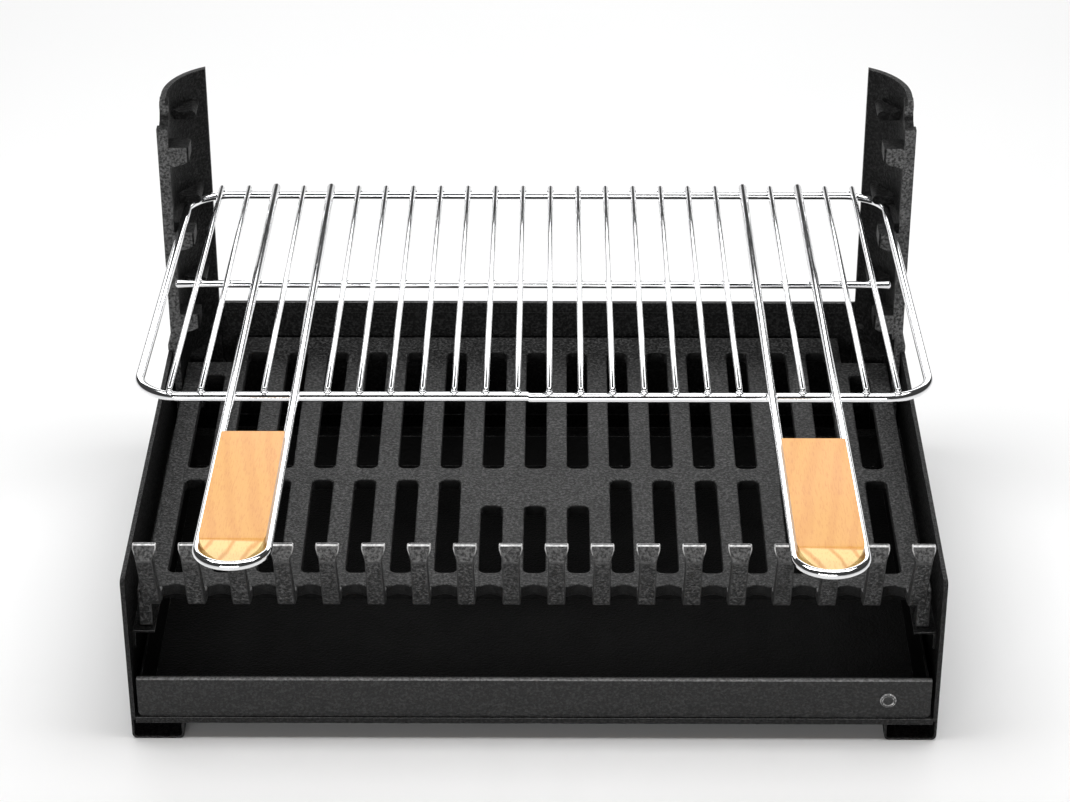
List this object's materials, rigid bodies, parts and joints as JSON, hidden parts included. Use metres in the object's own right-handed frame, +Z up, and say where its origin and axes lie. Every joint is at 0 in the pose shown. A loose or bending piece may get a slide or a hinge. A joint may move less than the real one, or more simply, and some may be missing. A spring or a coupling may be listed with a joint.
{
  "type": "hibachi charcoal grill",
  "caption": "Table-top charcoal grill: steel casing with ash tray, slotted cast grate with a fence of fingers, and a wire cooking grill with wooden grips on hooked uprights.",
  "frame": {"origin": "on the ground, at the centre of the whole object's footprint box with the handles included", "axes": "+X to the right, +Y from the open front with the handles to the back panel, +Z up"},
  "size_m": [0.5736, 0.6346, 0.342],
  "materials": {
    "painted_sheet": "fine-textured heat-resistant black paint, bare bright metal along worn folded edges",
    "cast_iron": "sand-cast, grainy dark grey with brighter worn edges",
    "chromed_wire": "bright chromed steel wire",
    "rivet_steel": "dulled dark steel heads",
    "grip_wood": "pale orange-tan hardwood, thin satin varnish, grain along the grip"
  },
  "bodies": {
    "casing": {"side_panel_left": "painted_sheet", "side_panel_right": "painted_sheet", "back_panel": "painted_sheet", "floor_panel": "painted_sheet", "grate_rail_left": "painted_sheet", "grate_rail_right": "painted_sheet", "back_rivets": "rivet_steel", "floor_rivets": "rivet_steel", "rail_rivets": "rivet_steel", "upright_left": "cast_iron", "upright_right": "cast_iron", "upright_bolts": "rivet_steel"},
    "tray": {"ash_tray": "painted_sheet", "lip_stud": "rivet_steel"},
    "grate": {"fire_grate": "cast_iron"},
    "grill": {"grill_rim": "chromed_wire", "grill_crossbar": "chromed_wire", "grill_wire_01": "chromed_wire", "grill_wire_02": "chromed_wire", "grill_wire_03": "chromed_wire", "grill_wire_04": "chromed_wire", "grill_wire_05": "chromed_wire", "grill_wire_06": "chromed_wire", "grill_wire_07": "chromed_wire", "grill_wire_08": "chromed_wire", "grill_wire_09": "chromed_wire", "grill_wire_10": "chromed_wire", "grill_wire_11": "chromed_wire", "grill_wire_12": "chromed_wire", "grill_wire_13": "chromed_wire", "grill_wire_14": "chromed_wire", "grill_wire_15": "chromed_wire", "grill_wire_16": "chromed_wire", "grill_wire_17": "chromed_wire", "grill_wire_18": "chromed_wire", "grill_wire_19": "chromed_wire", "grill_wire_20": "chromed_wire", "handle_loop_left": "chromed_wire", "handle_loop_right": "chromed_wire", "handle_grip_left": "grip_wood", "handle_grip_right": "grip_wood"}
  },
  "joints": [
    {"name": "tray_slide", "type": "slide", "parent": "casing", "child": "tray", "axis": [0, -1, 0], "range_m": [0, 0.3]},
    {"name": "grate_lift", "type": "slide", "parent": "casing", "child": "grate", "axis": [0, 0, 1], "range_m": [0, 0.04]},
    {"name": "grill_draw", "type": "slide", "parent": "casing", "child": "grill", "axis": [0, -0.9956, 0.0941], "range_m": [0, 0.08]}
  ]
}
